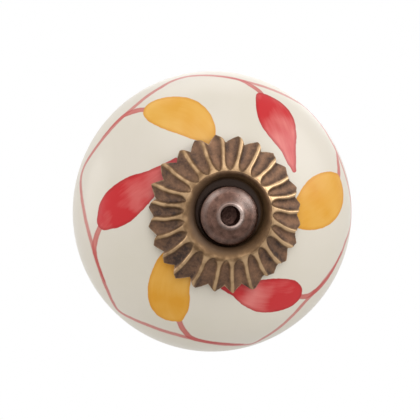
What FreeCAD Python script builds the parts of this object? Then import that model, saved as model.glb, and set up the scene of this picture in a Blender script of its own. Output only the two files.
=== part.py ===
import FreeCAD, Part
import math
import os

import Sketcher

# Cabinet knob: a glazed ceramic ball, flattened front and back, held between a fluted brass
# rosette and a brass ferrule by one long bolt. The front of the knob faces -Y, +Z is up, and
# the origin is the centre of the ferrule's back face, which lies on the drawer front.
# All lengths are in millimetres and all angles in degrees.

doc = FreeCAD.newDocument("cabinet_knob")

# Driving dimensions: name, value, meaning
SIZES = [
    ("ball_diameter", 40.0, "widest diameter of the ceramic body"),
    ("ball_edge_round", 9.5, "radius of the ball's rounded edge in section"),
    ("ball_front_bulge", 13.0, "widest circle to the front pole"),
    ("ball_rear_bulge", 14.0, "widest circle to the rear pole"),
    ("front_land_diameter", 17.2, "flat under the rosette"),
    ("rear_land_diameter", 21.0, "flat on the ferrule"),
    ("glaze_round", 0.4, "soft edge of both flats"),
    ("ball_bore_clearance", 0.5, "gap round the bolt in the ceramic"),
    ("bolt_diameter", 5.0, "thread size of the bolt"),
    ("hole_clearance", 0.25, "gap round the bolt in the brass and the washer"),
    ("thread_clearance", 0.02, "gap between the bolt and a nut"),
    ("sheet", 0.6, "thickness of the rosette's cup and channels"),
    ("rim_diameter", 22.4, "circle through the rosette's points"),
    ("notch_depth", 0.9, "how far the rim is cut back at each rib"),
    ("rim_clearance", 0.1, "gap between the rosette's rim and the glaze"),
    ("cup_diameter", 10.6, "mouth of the rosette's cup"),
    ("cup_floor_diameter", 9.6, "cup's tapered wall at its floor"),
    ("cup_depth", 2.5, "rosette's crest above the cup's floor"),
    ("crest_round", 0.8, "radius of the crest between cup and skirt"),
    ("flute_count", 24, "channels round the skirt"),
    ("rib_width", 0.55, "width of the rib between two channels"),
    ("rib_height", 0.45, "depth of a channel below its ribs"),
    ("channel_draft", 20.0, "slope of a channel's sides"),
    ("channel_start_diameter", 12.9, "circle through the channels' inner points"),
    ("channel_shoulder_diameter", 15.6, "circle where the channels reach full width"),
    ("channel_nose_round", 2.2, "radius of each side of a channel's inner point"),
    ("flute_lean", -0.1, "sideways shift of a channel's inner point"),
    ("point_lean", 3.0, "angle from a channel's middle to its point on the rim"),
    ("rosette_turn", 4.0, "angle of the first channel from the top"),
    ("head_diameter", 8.3, "bolt head"),
    ("head_height", 2.7, "bolt head from its seat to the lip"),
    ("head_hole_diameter", 2.8, "blind hole in the head"),
    ("head_hole_depth", 3.0, "depth of the blind hole"),
    ("lip_width", 0.55, "raised lip round the hole"),
    ("lip_drop", 0.15, "lip's edges below its top"),
    ("lip_round", 0.4, "radius of the lip's top"),
    ("groove_width", 0.85, "hollow between the lip and the dome"),
    ("groove_drop", 0.3, "dome's inner edge below the lip"),
    ("groove_round", 1.8, "radius of the hollow"),
    ("dome_drop", 1.25, "dome's outer edge below the lip"),
    ("dome_round", 2.4, "radius of the dome in section"),
    ("bolt_end_bevel", 0.5, "bevel at the end of the thread"),
    ("bolt_free_length", 8.0, "thread standing past the outer nut"),
    ("panel_thickness", 18.0, "drawer front between ferrule and washer"),
    ("ferrule_height", 8.0, "drawer front to the ceramic"),
    ("ferrule_web", 1.0, "ferrule's front wall"),
    ("ferrule_bore", 15.6, "hollow in the back of the ferrule"),
    ("collar_diameter", 19.6, "flat of the ferrule under the ceramic"),
    ("collar_bead", 1.2, "height of the half-round bead under the ceramic"),
    ("waist_diameter", 18.2, "ferrule just behind the bead"),
    ("waist_round", 6.0, "radius of the hollow waist in section"),
    ("foot_neck_diameter", 20.0, "ferrule just ahead of the foot"),
    ("foot_diameter", 21.2, "flat of the foot on the drawer front"),
    ("foot_bead", 1.6, "height of the half-round edge of the foot"),
    ("bead_fullness", 1.05, "radius of a half-round bead over half its height"),
    ("nut_across_flats", 8.0, "both nuts"),
    ("clamp_nut_height", 2.7, "thin nut in the ferrule"),
    ("panel_nut_height", 4.0, "nut behind the drawer front"),
    ("nut_bevel", 0.45, "height of the bevel at a nut's corners"),
    ("washer_diameter", 15.0, "washer behind the drawer front"),
    ("washer_thickness", 1.2, "washer behind the drawer front"),
    ("washer_bevel", 0.2, "soft edge of the washer"),
]

# Places worked out from the driving dimensions: name and formula. A place whose name ends in
# _y is on the knob's axis, and a height is measured forward from the ball's widest circle.
PLACES = [
    # Ceramic ball: in section each half is a wide arc that meets the edge's arc at a tangent
    ("ball_radius", "sizes.ball_diameter / 2"),
    ("edge_centre", "ball_radius - sizes.ball_edge_round"),
    ("front_sweep", "(edge_centre ^ 2 + sizes.ball_front_bulge ^ 2 - sizes.ball_edge_round ^ 2)"
                    " / (2 * (sizes.ball_front_bulge - sizes.ball_edge_round))"),
    ("front_drop", "front_sweep - sizes.ball_front_bulge"),
    ("front_join_radius", "edge_centre * front_sweep / (front_sweep - sizes.ball_edge_round)"),
    ("front_join_height", "front_drop * sizes.ball_edge_round"
                          " / (front_sweep - sizes.ball_edge_round)"),
    ("front_land_radius", "sizes.front_land_diameter / 2"),
    ("front_land_height", "sqrt(front_sweep ^ 2 - front_land_radius ^ 2) - front_drop"),
    ("rear_sweep", "(edge_centre ^ 2 + sizes.ball_rear_bulge ^ 2 - sizes.ball_edge_round ^ 2)"
                   " / (2 * (sizes.ball_rear_bulge - sizes.ball_edge_round))"),
    ("rear_drop", "rear_sweep - sizes.ball_rear_bulge"),
    ("rear_join_radius", "edge_centre * rear_sweep / (rear_sweep - sizes.ball_edge_round)"),
    ("rear_join_height", "rear_drop * sizes.ball_edge_round"
                         " / (rear_sweep - sizes.ball_edge_round)"),
    ("rear_land_radius", "sizes.rear_land_diameter / 2"),
    ("rear_land_height", "sqrt(rear_sweep ^ 2 - rear_land_radius ^ 2) - rear_drop"),
    ("equator_y", "-(sizes.ferrule_height + rear_land_height)"),
    ("front_land_y", "equator_y - front_land_height"),
    ("front_join_y", "equator_y - front_join_height"),
    ("rear_join_y", "equator_y + rear_join_height"),
    ("rear_land_y", "-sizes.ferrule_height"),
    ("ball_bore_radius", "sizes.bolt_diameter / 2 + sizes.ball_bore_clearance"),
    # Rosette: the cup's floor lies on the front flat, and the skirt comes down to the glaze
    ("hole_radius", "sizes.bolt_diameter / 2 + sizes.hole_clearance"),
    ("cup_radius", "sizes.cup_diameter / 2"),
    ("cup_back_radius", "cup_radius + sizes.sheet"),
    ("cup_floor_radius", "sizes.cup_floor_diameter / 2"),
    ("cup_seat_radius", "cup_floor_radius + sizes.sheet"),
    ("cup_floor_y", "front_land_y - sizes.sheet"),
    ("crest_centre_radius", "cup_radius + sizes.crest_round"),
    ("crest_centre_height", "front_land_height + sizes.sheet + sizes.cup_depth"
                            " - sizes.crest_round"),
    ("crest_centre_y", "equator_y - crest_centre_height"),
    ("rim_radius", "sizes.rim_diameter / 2"),
    ("rim_back_height", "sqrt(front_sweep ^ 2 - rim_radius ^ 2) - front_drop"
                        " + sizes.rim_clearance"),
    ("skirt_back_offset", "sizes.crest_round - sizes.sheet - sizes.rib_height"),
    # The skirt's back is a straight line past the crest's centre, at skirt_back_offset from it,
    # to the rim's back edge. Its direction comes from the right triangle on that line.
    ("skirt_run", "rim_radius - crest_centre_radius"),
    ("skirt_fall", "crest_centre_height - rim_back_height"),
    ("skirt_reach", "skirt_run ^ 2 + skirt_fall ^ 2"),
    ("skirt_length", "sqrt(skirt_reach - skirt_back_offset ^ 2)"),
    ("skirt_cos", "(skirt_length * skirt_run - skirt_back_offset * skirt_fall) / skirt_reach"),
    ("skirt_sin", "(skirt_back_offset * skirt_run + skirt_length * skirt_fall) / skirt_reach"),
    ("skirt_tangent", "skirt_sin / skirt_cos"),
    ("skirt_front_radius", "crest_centre_radius + sizes.crest_round * skirt_sin"),
    ("skirt_front_height", "crest_centre_height + sizes.crest_round * skirt_cos"),
    ("skirt_front_y", "equator_y - skirt_front_height"),
    ("rim_front_y", "skirt_front_y + (rim_radius - skirt_front_radius) * skirt_tangent"),
    ("rim_back_y", "equator_y - rim_back_height"),
    ("cup_back_y", "rim_back_y - (rim_radius - cup_back_radius) * skirt_tangent"),
    # Channel outline on the skirt's slope, measured from where the skirt leaves the crest
    ("half_pitch_tangent", "tan(180 deg / sizes.flute_count)"),
    ("channel_tip_along", "(sizes.channel_start_diameter / 2 - skirt_front_radius) / skirt_cos"),
    ("shoulder_radius", "sizes.channel_shoulder_diameter / 2"),
    ("shoulder_along", "(shoulder_radius - skirt_front_radius) / skirt_cos"),
    ("shoulder_right", "shoulder_radius * half_pitch_tangent - sizes.rib_width / 2"),
    ("shoulder_left", "-shoulder_right"),
    ("channel_end_radius", "rim_radius + sizes.sheet"),
    ("channel_end_along", "(channel_end_radius - skirt_front_radius) / skirt_cos"),
    ("channel_end_right", "channel_end_radius * half_pitch_tangent - sizes.rib_width / 2"),
    ("channel_end_left", "-channel_end_right"),
    # One period of the rim: cut back at the two ribs, with its point past the channel's middle
    ("rib_end_radius", "rim_radius - sizes.notch_depth"),
    ("rib_end_right", "rib_end_radius * sin(180 deg / sizes.flute_count)"),
    ("rib_end_left", "-rib_end_right"),
    ("rib_end_up", "rib_end_radius * cos(180 deg / sizes.flute_count)"),
    ("point_right", "rim_radius * sin(sizes.point_lean * 1 deg)"),
    ("point_up", "rim_radius * cos(sizes.point_lean * 1 deg)"),
    ("trim_up", "rim_radius + sizes.rib_height + sizes.sheet"),
    ("trim_right", "trim_up * half_pitch_tangent"),
    ("trim_left", "-trim_right"),
    # Bolt
    ("bolt_radius", "sizes.bolt_diameter / 2"),
    ("head_radius", "sizes.head_diameter / 2"),
    ("head_front_y", "cup_floor_y - sizes.head_height"),
    ("head_hole_radius", "sizes.head_hole_diameter / 2"),
    ("head_hole_y", "head_front_y + sizes.head_hole_depth"),
    ("lip_edge_y", "head_front_y + sizes.lip_drop"),
    ("lip_outer_radius", "head_hole_radius + sizes.lip_width"),
    ("dome_inner_y", "head_front_y + sizes.groove_drop"),
    ("dome_inner_radius", "lip_outer_radius + sizes.groove_width"),
    ("dome_outer_y", "head_front_y + sizes.dome_drop"),
    ("washer_back_y", "sizes.panel_thickness + sizes.washer_thickness"),
    ("panel_nut_back_y", "washer_back_y + sizes.panel_nut_height"),
    ("bolt_end_y", "panel_nut_back_y + sizes.bolt_free_length"),
    ("bolt_bevel_y", "bolt_end_y - sizes.bolt_end_bevel"),
    ("bolt_end_radius", "bolt_radius - sizes.bolt_end_bevel"),
    # Ferrule, clamp nut, washer and panel nut
    ("ferrule_bore_radius", "sizes.ferrule_bore / 2"),
    ("web_back_y", "sizes.ferrule_web - sizes.ferrule_height"),
    ("collar_radius", "sizes.collar_diameter / 2"),
    ("collar_back_y", "sizes.collar_bead - sizes.ferrule_height"),
    ("collar_bead_round", "sizes.bead_fullness * sizes.collar_bead / 2"),
    ("waist_radius", "sizes.waist_diameter / 2"),
    ("foot_radius", "sizes.foot_diameter / 2"),
    ("foot_neck_radius", "sizes.foot_neck_diameter / 2"),
    ("foot_front_y", "-sizes.foot_bead"),
    ("foot_bead_round", "sizes.bead_fullness * sizes.foot_bead / 2"),
    ("thread_hole_radius", "bolt_radius + sizes.thread_clearance"),
    ("nut_corner_radius", "sizes.nut_across_flats / 2 / cos(30 deg)"),
    ("nut_flat_radius", "sizes.nut_across_flats / 2"),
    ("nut_bevel_reach", "nut_corner_radius + sizes.nut_bevel"),
    ("clamp_nut_bevel_y", "web_back_y + sizes.clamp_nut_height - sizes.nut_bevel"),
    ("clamp_nut_back_y", "web_back_y + sizes.clamp_nut_height"),
    ("panel_nut_bevel_y", "panel_nut_back_y - sizes.nut_bevel"),
    ("washer_radius", "sizes.washer_diameter / 2"),
]

# A corner on one of the sketch's own axes has this in place of a name
ON_AXIS = None


def fill_sheet(sheet, rows, prefix):
    """Write one row for each named value, with its name as the cell's alias."""
    for number, row in enumerate(rows, start=1):
        sheet.set(f"A{number}", row[0])
        sheet.set(f"B{number}", prefix + str(row[1]))
        sheet.setAlias(f"B{number}", row[0])
        if len(row) > 2:
            sheet.set(f"C{number}", row[2])


sizes = doc.addObject("Spreadsheet::Sheet", "sizes")
fill_sheet(sizes, SIZES, "")
places = doc.addObject("Spreadsheet::Sheet", "places")
fill_sheet(places, PLACES, "=")
doc.recompute()

SIZE_NAMES = {row[0] for row in SIZES}


def cell(name):
    """The formula that reads a named value from the sheet that holds it."""
    return f"sizes.{name}" if name in SIZE_NAMES else f"places.{name}"


def read(name):
    """A named value as a number."""
    if name is ON_AXIS:
        return 0.0
    sheet = sizes if name in SIZE_NAMES else places
    return float(sheet.get(name))


def origin_feature(body, role):
    """One of a body's own origin planes or axes."""
    return next(item for item in body.Origin.OriginFeatures if item.Role == role)


def new_body(label):
    """A sub-part of its own, whose label names its file."""
    body = doc.addObject("PartDesign::Body", label)
    body.Label = label
    return body


def new_sketch(body, name, role):
    """A sketch on one of the body's origin planes."""
    sketch = body.newObject("Sketcher::SketchObject", name)
    sketch.AttachmentSupport = (origin_feature(body, role), [""])
    sketch.MapMode = "FlatFace"
    return sketch


def arc_between(start, finish, radius, side):
    """The short arc from start to finish, bulging to the left of the way when side is 1."""
    chord = finish - start
    half = chord.Length / 2
    across = FreeCAD.Vector(-chord.y, chord.x, 0).normalize()
    height = math.sqrt(max(radius ** 2 - half ** 2, 0))
    centre = (start + finish) / 2 - across * height * side
    top = centre + across * radius * side
    return Part.Arc(start, top, finish).toShape().Curve, centre


def draw(sketch, corners):
    """Draw a closed outline and tie each corner and each arc to its named values.

    A corner is (across, up), or (across, up, radius, side) where an arc leaves it.
    """
    spots = [FreeCAD.Vector(read(corner[0]), read(corner[1]), 0) for corner in corners]
    heads = []
    tails = []
    for index, corner in enumerate(corners):
        start = spots[index]
        finish = spots[(index + 1) % len(spots)]
        if len(corner) == 2:
            sketch.addGeometry(Part.LineSegment(start, finish), False)
            heads.append((index, 1))
            tails.append((index, 2))
            continue
        circle, centre = arc_between(start, finish, read(corner[2]), corner[3])
        # a sketch arc always runs anticlockwise, so one that bulges left is stored backwards
        first, last = (finish, start) if corner[3] > 0 else (start, finish)
        angles = [math.atan2(spot.y - centre.y, spot.x - centre.x) for spot in (first, last)]
        flat_circle = Part.Circle(centre, FreeCAD.Vector(0, 0, 1), circle.Radius)
        sketch.addGeometry(Part.ArcOfCircle(flat_circle, angles[0], angles[1]), False)
        heads.append((index, 2 if corner[3] > 0 else 1))
        tails.append((index, 1 if corner[3] > 0 else 2))
    for index, corner in enumerate(corners):
        following = heads[(index + 1) % len(heads)]
        sketch.addConstraint(Sketcher.Constraint("Coincident", *tails[index], *following))
        for kind, axis, name in (("DistanceX", -2, corner[0]), ("DistanceY", -1, corner[1])):
            if name is ON_AXIS:
                sketch.addConstraint(Sketcher.Constraint("PointOnObject", *heads[index], axis))
                continue
            spot = Sketcher.Constraint(kind, -1, 1, *heads[index], read(name))
            number = sketch.addConstraint(spot)
            sketch.setExpression(f"Constraints[{number}]", cell(name))
        if len(corner) > 2:
            number = sketch.addConstraint(Sketcher.Constraint("Radius", index, read(corner[2])))
            sketch.setExpression(f"Constraints[{number}]", cell(corner[2]))


def turn(body, name, corners, kind="PartDesign::Revolution"):
    """Turn an outline of (place on the axis, radius) about the knob's axis."""
    sketch = new_sketch(body, name + "_profile", "YZ_Plane")
    draw(sketch, corners)
    feature = body.newObject(kind, name)
    feature.Profile = sketch
    feature.ReferenceAxis = (sketch, ["H_Axis"])
    feature.Angle = 360.0
    return feature


def repeat_round(body, feature, name):
    """Repeat a feature round the knob's axis, once for each flute."""
    pattern = body.newObject("PartDesign::PolarPattern", name)
    pattern.Originals = [feature]
    pattern.Axis = (origin_feature(body, "Y_Axis"), [""])
    pattern.Angle = 360.0
    pattern.setExpression("Occurrences", cell("flute_count"))
    body.Tip = pattern
    return pattern


def edge_names(feature, radius_name, place_name):
    """The round edges of a feature at a named radius and a named place on the axis."""
    names = []
    for number, edge in enumerate(feature.Shape.Edges, start=1):
        if not isinstance(edge.Curve, Part.Circle):
            continue
        same_radius = abs(edge.Curve.Radius - read(radius_name)) < 0.001
        same_place = abs(edge.Curve.Center.y - read(place_name)) < 0.001
        if same_radius and same_place:
            names.append(f"Edge{number}")
    return names


def ceramic_body():
    """Slip-cast ball: two wide arcs joined by a rounded edge, flat where the brass seats."""
    body = new_body("ceramic_body")
    ball = turn(body, "ball", [
        ("front_land_y", "ball_bore_radius"),
        ("front_land_y", "front_land_radius", "front_sweep", 1),
        ("front_join_y", "front_join_radius", "ball_edge_round", 1),
        ("equator_y", "ball_radius", "ball_edge_round", 1),
        ("rear_join_y", "rear_join_radius", "rear_sweep", 1),
        ("rear_land_y", "rear_land_radius"),
        ("rear_land_y", "ball_bore_radius"),
    ])
    doc.recompute()
    soft = body.newObject("PartDesign::Fillet", "soft_edges")
    front = edge_names(ball, "front_land_radius", "front_land_y")
    rear = edge_names(ball, "rear_land_radius", "rear_land_y")
    soft.Base = (ball, front + rear)
    soft.setExpression("Radius", cell("glaze_round"))
    body.Tip = soft
    return body


def fluted_rosette():
    """Struck brass rosette: cup, rounded crest and a skirt of leaning, pointed flutes."""
    body = new_body("fluted_rosette")
    turn(body, "dish", [
        ("front_land_y", "hole_radius"),
        ("cup_floor_y", "hole_radius"),
        ("cup_floor_y", "cup_floor_radius"),
        ("crest_centre_y", "cup_radius", "crest_round", 1),
        ("skirt_front_y", "skirt_front_radius"),
        ("rim_front_y", "rim_radius"),
        ("rim_back_y", "rim_radius"),
        ("cup_back_y", "cup_back_radius"),
        ("front_land_y", "cup_seat_radius"),
    ])
    # A channel is pressed square to the skirt's slope, from the plane that lies on the ribs
    slope = new_sketch(body, "channel_outline", "XZ_Plane")
    tilt = FreeCAD.Rotation(FreeCAD.Vector(-1, 0, 0), math.degrees(math.acos(read("skirt_cos"))))
    place = FreeCAD.Vector(0, read("skirt_front_radius"), -read("skirt_front_y"))
    slope.AttachmentOffset = FreeCAD.Placement(place, tilt)
    slope.setExpression("AttachmentOffset.Base.y", cell("skirt_front_radius"))
    slope.setExpression("AttachmentOffset.Base.z", "-" + cell("skirt_front_y"))
    slope.setExpression("AttachmentOffset.Rotation.Angle", f"acos({cell('skirt_cos')})")
    draw(slope, [
        ("flute_lean", "channel_tip_along", "channel_nose_round", 1),
        ("shoulder_left", "shoulder_along"),
        ("channel_end_left", "channel_end_along"),
        ("channel_end_right", "channel_end_along"),
        ("shoulder_right", "shoulder_along", "channel_nose_round", 1),
    ])
    channel = body.newObject("PartDesign::Pocket", "channel")
    channel.Profile = slope
    channel.setExpression("Length", cell("rib_height"))
    channel.setExpression("TaperAngle", "-" + cell("channel_draft"))
    repeat_round(body, channel, "channels")
    # The rim is cut to its points from the front, straight through
    rim = new_sketch(body, "rim_outline", "XZ_Plane")
    draw(rim, [
        ("rib_end_left", "rib_end_up"),
        ("point_right", "point_up"),
        ("rib_end_right", "rib_end_up"),
        ("trim_right", "trim_up"),
        ("trim_left", "trim_up"),
    ])
    trim = body.newObject("PartDesign::Pocket", "rim_trim")
    trim.Profile = rim
    trim.Type = "ThroughAll"
    trim.Midplane = True
    repeat_round(body, trim, "rim_points")
    body.Placement = FreeCAD.Placement(
        FreeCAD.Vector(0, 0, 0), FreeCAD.Rotation(FreeCAD.Vector(0, 1, 0), read("rosette_turn")))
    body.setExpression("Placement.Rotation.Angle", cell("rosette_turn") + " * 1 deg")
    return body


def centre_bolt():
    """Turned bolt: domed head with a lipped blind hole, and a plain shank at thread size."""
    body = new_body("centre_bolt")
    turn(body, "bolt", [
        ("head_hole_y", ON_AXIS),
        ("head_hole_y", "head_hole_radius"),
        ("lip_edge_y", "head_hole_radius", "lip_round", 1),
        ("lip_edge_y", "lip_outer_radius", "groove_round", -1),
        ("dome_inner_y", "dome_inner_radius", "dome_round", 1),
        ("dome_outer_y", "head_radius"),
        ("cup_floor_y", "head_radius"),
        ("cup_floor_y", "bolt_radius"),
        ("bolt_bevel_y", "bolt_radius"),
        ("bolt_end_y", "bolt_end_radius"),
        ("bolt_end_y", ON_AXIS),
    ])
    return body


def rear_ferrule():
    """Hollow brass collar: bead under the ceramic, hollow waist and a half-round foot."""
    body = new_body("rear_ferrule")
    turn(body, "collar", [
        ("rear_land_y", "hole_radius"),
        ("rear_land_y", "collar_radius", "collar_bead_round", 1),
        ("collar_back_y", "collar_radius"),
        ("collar_back_y", "waist_radius", "waist_round", -1),
        ("foot_front_y", "foot_neck_radius"),
        ("foot_front_y", "foot_radius", "foot_bead_round", 1),
        (ON_AXIS, "foot_radius"),
        (ON_AXIS, "ferrule_bore_radius"),
        ("web_back_y", "ferrule_bore_radius"),
        ("web_back_y", "hole_radius"),
    ])
    return body


def hex_nut(label, seat_name, height_name, bevel_name, back_name):
    """Hexagon nut on the bolt, bevelled at the corners of its back face."""
    body = new_body(label)
    block = body.newObject("PartDesign::AdditivePrism", label + "_block")
    block.AttachmentSupport = (origin_feature(body, "XZ_Plane"), [""])
    block.MapMode = "FlatFace"
    block.Polygon = 6
    block.AttachmentOffset = FreeCAD.Placement(
        FreeCAD.Vector(0, 0, -read(back_name)), FreeCAD.Rotation())
    block.setExpression("AttachmentOffset.Base.z", "-" + cell(back_name))
    block.setExpression("Circumradius", cell("nut_corner_radius"))
    block.setExpression("Height", cell(height_name))
    turn(body, label + "_bevel", [
        (bevel_name, "nut_corner_radius"),
        (bevel_name, "nut_bevel_reach"),
        (back_name, "nut_bevel_reach"),
        (back_name, "nut_flat_radius"),
    ], "PartDesign::Groove")
    turn(body, label + "_thread_hole", [
        (seat_name, ON_AXIS),
        (seat_name, "thread_hole_radius"),
        (back_name, "thread_hole_radius"),
        (back_name, ON_AXIS),
    ], "PartDesign::Groove")
    return body


def panel_washer():
    """Flat washer that spreads the nut's pull over the back of the drawer front."""
    body = new_body("panel_washer")
    disc = turn(body, "disc", [
        ("panel_thickness", "hole_radius"),
        ("panel_thickness", "washer_radius"),
        ("washer_back_y", "washer_radius"),
        ("washer_back_y", "hole_radius"),
    ])
    doc.recompute()
    soft = body.newObject("PartDesign::Chamfer", "washer_edge")
    soft.Base = (disc, edge_names(disc, "washer_radius", "washer_back_y"))
    soft.setExpression("Size", cell("washer_bevel"))
    body.Tip = soft
    return body


bodies = [
    ceramic_body(),
    fluted_rosette(),
    centre_bolt(),
    rear_ferrule(),
    hex_nut("clamp_nut", "web_back_y", "clamp_nut_height", "clamp_nut_bevel_y",
            "clamp_nut_back_y"),
    panel_washer(),
    hex_nut("panel_nut", "washer_back_y", "panel_nut_height", "panel_nut_bevel_y",
            "panel_nut_back_y"),
]
doc.recompute()

for item in doc.Objects:
    if "Invalid" in item.State or "Error" in item.State:
        raise RuntimeError(f"{item.Label} could not be built: {item.State}")

os.makedirs("parts", exist_ok=True)
for body in bodies:
    shape = body.Shape
    if shape.isNull() or not shape.isValid() or len(shape.Solids) != 1:
        raise RuntimeError(f"{body.Label} is not one sound solid")
    shape.exportStep(f"parts/{body.Label}.step")
    print(f"{body.Label}: {shape.Volume:.1f} mm3, {len(shape.Faces)} faces")
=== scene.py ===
import math

import bpy
import numpy as np
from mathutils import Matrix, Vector


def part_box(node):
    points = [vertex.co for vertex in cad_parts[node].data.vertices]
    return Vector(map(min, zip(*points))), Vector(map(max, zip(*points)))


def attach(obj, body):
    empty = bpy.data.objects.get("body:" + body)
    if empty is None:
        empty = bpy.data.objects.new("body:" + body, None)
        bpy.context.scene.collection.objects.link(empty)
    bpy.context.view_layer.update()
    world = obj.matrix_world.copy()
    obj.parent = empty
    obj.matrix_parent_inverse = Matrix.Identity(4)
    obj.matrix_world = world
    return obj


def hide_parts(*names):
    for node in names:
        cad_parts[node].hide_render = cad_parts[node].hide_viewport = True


# A glazed and hand-painted ceramic knob with a fluted brass rosette and a turned steel bolt.
# Everything is drawn in millimetres on the knob's own axis, which is Y, and its front faces -Y.
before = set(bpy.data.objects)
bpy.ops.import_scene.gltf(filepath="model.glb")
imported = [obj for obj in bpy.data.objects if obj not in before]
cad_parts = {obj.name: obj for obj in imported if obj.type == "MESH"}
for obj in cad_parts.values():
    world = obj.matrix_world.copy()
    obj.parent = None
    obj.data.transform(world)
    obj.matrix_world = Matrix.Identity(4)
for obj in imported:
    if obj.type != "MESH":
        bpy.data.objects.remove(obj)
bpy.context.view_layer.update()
MM = 0.001
FULL_TURN = 2 * math.pi

# Ceramic body, in section two wide arcs joined by the tighter arc of the edge
EQUATOR_Y = -19.581
EDGE_CENTRE = 10.5
EDGE_ROUND = 9.5
FRONT_SWEEP = 27.0
FRONT_SETBACK = 14.0
REAR_SWEEP = 24.0
REAR_SETBACK = 10.0
FRONT_JOIN = math.degrees(math.atan2(EDGE_CENTRE, FRONT_SETBACK))
REAR_JOIN = 180 - math.degrees(math.atan2(EDGE_CENTRE, REAR_SETBACK))
FRONT_LAND_Y = -31.175
REAR_LAND_Y = -8.0
FRONT_LAND = 8.6
REAR_LAND = 10.5
CERAMIC_BORE = 3.0

# Rosette: cup, rounded crest and a skirt that falls to the glaze at just under 30 degrees
HOLE = 2.75
CUP_FLOOR_Y = -31.775
CUP_FLOOR = 4.8
CUP = 5.3
CREST = 6.1
CREST_Y = -33.995
CREST_ROUND = 0.35
CREST_START = -35.0
SHEET = 0.6
RIM = 11.28
SKIRT_COS = 0.8665
SKIRT_SIN = 0.4991
SKIRT_START = CREST + CREST_ROUND * SKIRT_SIN
SKIRT_START_Y = CREST_Y - CREST_ROUND * SKIRT_COS
SKIRT_LENGTH = (RIM - SKIRT_START) / SKIRT_COS
SKIRT_DEPTH = 1.05

# Bolt head and shank. The thread's end stops a micrometre inside the solid's.
HEAD = 4.15
HEAD_FRONT_Y = -34.475
HEAD_HOLE = 1.4
BOLT = 2.5
BOLT_END_Y = 31.2
THREAD_PITCH = 0.8
THREAD_ROOT = 2.05
THREAD_START_Y = -8.4


def begin(name, y, radius):
    """Add a plane, merge it to one point of an outline, and leave it open for drawing."""
    bpy.ops.object.select_all(action="DESELECT")
    bpy.ops.mesh.primitive_plane_add(size=MM, location=(0, y * MM, radius * MM))
    bpy.ops.object.transform_apply(location=True, rotation=True, scale=True)
    piece = bpy.context.object
    piece.name = name
    piece.data.name = name
    bpy.ops.object.mode_set(mode="EDIT")
    bpy.ops.mesh.select_all(action="SELECT")
    bpy.ops.mesh.merge(type="CENTER")
    return piece


def draw(outline):
    """Extrude the selected point through the rest of an outline of (y, radius) points."""
    for here, there in zip(outline, outline[1:]):
        step = (0, (there[0] - here[0]) * MM, (there[1] - here[1]) * MM)
        bpy.ops.mesh.extrude_region_move(TRANSFORM_OT_translate={"value": step})


def wind(piece, steps, rise=0.0, turns=1):
    """Sweep a drawn outline round the knob's axis, rising by so many mm in each turn."""
    sweep = piece.modifiers.new("wind", "SCREW")
    sweep.axis = "Y"
    sweep.angle = FULL_TURN
    sweep.screw_offset = rise * MM
    sweep.iterations = turns
    sweep.steps = steps
    sweep.render_steps = steps
    bpy.ops.object.modifier_apply(modifier="wind")


def close_up():
    """Merge the seam and the points on the axis, and turn every face outwards."""
    bpy.ops.object.mode_set(mode="EDIT")
    bpy.ops.mesh.select_all(action="SELECT")
    bpy.ops.mesh.remove_doubles(threshold=MM * 0.0005)
    bpy.ops.mesh.normals_make_consistent(inside=False)
    bpy.ops.object.mode_set(mode="OBJECT")


def lathe(name, outline, steps):
    """Turn an outline of (y, radius) points round the knob's axis. It closes on itself, or ends
    on the axis."""
    piece = begin(name, *outline[0])
    draw(outline if outline[-1][1] == 0 else outline + [outline[0]])
    bpy.ops.object.mode_set(mode="OBJECT")
    wind(piece, steps)
    close_up()
    bpy.ops.object.shade_smooth()
    return piece


def straight(start, end, count):
    """Points on a straight line, without its first one."""
    shares = [number / count for number in range(1, count + 1)]
    return [(start[0] + (end[0] - start[0]) * t, start[1] + (end[1] - start[1]) * t) for t in shares]


def arc(centre_y, centre_radius, radius, start, end, count):
    """Points on an arc. Its angles are in degrees from the front, turning away from the axis."""
    angles = [math.radians(start + (end - start) * number / count) for number in range(count + 1)]
    return [(centre_y - radius * math.cos(a), centre_radius + radius * math.sin(a)) for a in angles]


def bow(start, end, radius, side, count):
    """Points on an arc of a given radius between two corners, without the first corner. Side 1
    bulges out of the material, and side -1 hollows into it."""
    run, rise = end[0] - start[0], end[1] - start[1]
    chord = math.hypot(run, rise)
    reach = -side * math.sqrt(radius * radius - chord * chord / 4) / chord
    centre = ((start[0] + end[0]) / 2 - rise * reach, (start[1] + end[1]) / 2 + run * reach)
    first = math.atan2(start[1] - centre[1], start[0] - centre[0])
    last = math.atan2(end[1] - centre[1], end[0] - centre[0])
    sweep = (last - first + math.pi) % FULL_TURN - math.pi
    angles = [first + sweep * number / count for number in range(1, count + 1)]
    return [(centre[0] + radius * math.cos(a), centre[1] + radius * math.sin(a)) for a in angles]


def points_of(piece):
    """The piece's points in millimetres, one row for each."""
    flat = np.zeros(len(piece.data.vertices) * 3, np.float32)
    piece.data.vertices.foreach_get("co", flat)
    return flat.reshape(-1, 3).astype(float) / MM


def move_points(piece, points):
    """Put the piece's points where the rows say, in millimetres."""
    piece.data.vertices.foreach_set("co", (points * MM).astype(np.float32).ravel())
    piece.data.update()


def draw_in(piece, limit):
    """Bring the points that lie further from the axis than their limit, in mm, back to it."""
    points = points_of(piece)
    reach = np.hypot(points[:, 0], points[:, 2])
    share = np.minimum(reach, limit(points)) / np.maximum(reach, 1e-6)
    points[:, 0] *= share
    points[:, 2] *= share
    move_points(piece, points)


def note(piece, name, values):
    """Keep one value, or a row of three, on each point for the material to read."""
    kind, field = ("FLOAT", "value") if values.ndim == 1 else ("FLOAT_VECTOR", "vector")
    attribute = piece.data.attributes.new(name, kind, "POINT")
    attribute.data.foreach_set(field, values.astype(np.float32).ravel())


def ease(low, high, values):
    """0 below low, 1 above high, and a soft step between them."""
    t = np.clip((values - low) / (high - low), 0, 1)
    return t * t * (3 - 2 * t)


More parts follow.
